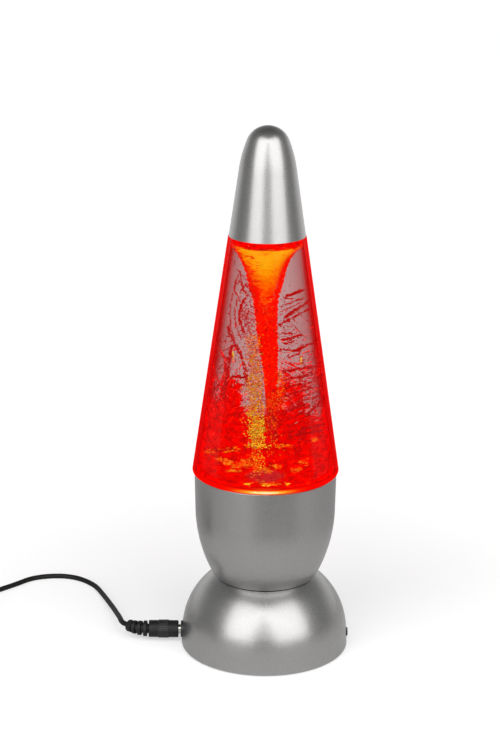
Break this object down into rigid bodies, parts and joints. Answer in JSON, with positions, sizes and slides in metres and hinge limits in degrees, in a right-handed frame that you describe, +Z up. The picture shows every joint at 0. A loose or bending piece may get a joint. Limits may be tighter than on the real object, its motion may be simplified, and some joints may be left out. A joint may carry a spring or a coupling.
{
  "type": "tornado lamp",
  "caption": "Standing lamp whose magnet-driven impeller spins a lit vortex in a sealed cone of liquid, with a silver cap, cup and domed base, a slide switch and a plug-in lead.",
  "frame": {"origin": "middle of the lamp's footprint on the table", "axes": "+Z up along the lamp's axis, -Y towards the viewer, -X towards the power socket, +X towards the switch"},
  "size_m": [0.2697, 0.1711, 0.3],
  "materials": {
    "silver_paint": "silver paint, satin",
    "clear_plastic": "clear, tinted red, polished",
    "liquid": "clear liquid, tinted",
    "white_plastic": "smooth white",
    "lamp_lens": "clear yellowish resin",
    "black_plastic": "fine grain",
    "black_rubber": "soft satin",
    "seal_rubber": "matt",
    "steel": "zinc or nickel plated",
    "magnet": "nickel plated",
    "copper": "enamelled copper",
    "contact_brass": "plated",
    "board": "lacquered board",
    "wire": "smooth sleeve"
  },
  "bodies": {
    "base": {"cup": "silver_paint", "dome": "silver_paint", "vessel": "clear_plastic", "vessel_floor": "clear_plastic", "liquid": "liquid", "filler_stopper": "white_plastic", "lamp_housings": "white_plastic", "lamp_lenses": "lamp_lens", "bottom_plate": "black_plastic", "socket_body": "black_plastic", "switch_body": "black_plastic", "motor_end_cap": "black_plastic", "motor_bracket": "black_plastic", "rubber_feet": "black_rubber", "stopper_seal": "seal_rubber", "vessel_gasket": "seal_rubber", "motor_can": "steel", "impeller_pin": "steel", "switch_frame": "steel", "bottom_screws": "steel", "cup_screws": "steel", "bracket_screws": "steel", "motor_screws": "steel", "board_screws": "steel", "socket_pin": "steel", "motor_magnets": "magnet", "motor_bushes": "copper", "motor_terminals": "contact_brass", "switch_terminals": "contact_brass", "socket_contact": "contact_brass", "light_board": "board", "board_resistors": "board", "supply_wires": "wire", "motor_wires": "wire"},
    "cap": {"top_cap": "silver_paint"},
    "knob": {"switch_knob": "black_plastic"},
    "rotor": {"motor_shaft": "steel", "motor_rotor": "steel", "motor_windings": "copper", "drive_hub": "black_plastic", "drive_magnets": "magnet"},
    "stirrer": {"impeller": "white_plastic", "impeller_magnets": "magnet"},
    "lead": {"plug_barrel": "steel", "plug_grip": "black_rubber", "cord_run": "black_rubber", "cord_coil": "black_rubber", "cord_tail": "black_rubber", "cord_tie": "black_rubber", "usb_grip": "black_rubber", "usb_shell": "steel", "usb_tongue": "black_plastic", "usb_contacts": "contact_brass"}
  },
  "joints": [
    {"name": "motor_spin", "type": "hinge", "parent": "base", "child": "rotor", "pos_m": [0, 0, 0.08], "axis": [0, 0, 1], "continuous": true},
    {"name": "impeller_spin", "type": "hinge", "parent": "base", "child": "stirrer", "pos_m": [0, 0, 0.1], "axis": [0, 0, 1], "continuous": true},
    {"name": "switch_slide", "type": "slide", "parent": "base", "child": "knob", "axis": [0, -1, 0], "range_m": [0, 0.003]},
    {"name": "plug_pull", "type": "slide", "parent": "base", "child": "lead", "axis": [-1, 0, 0], "range_m": [0, 0.01]},
    {"name": "cap_lift", "type": "slide", "parent": "base", "child": "cap", "axis": [0, 0, 1], "range_m": [0, 0.03]}
  ],
  "couplings": [
    {"joint": "impeller_spin", "follows": "motor_spin", "ratio": 1}
  ]
}
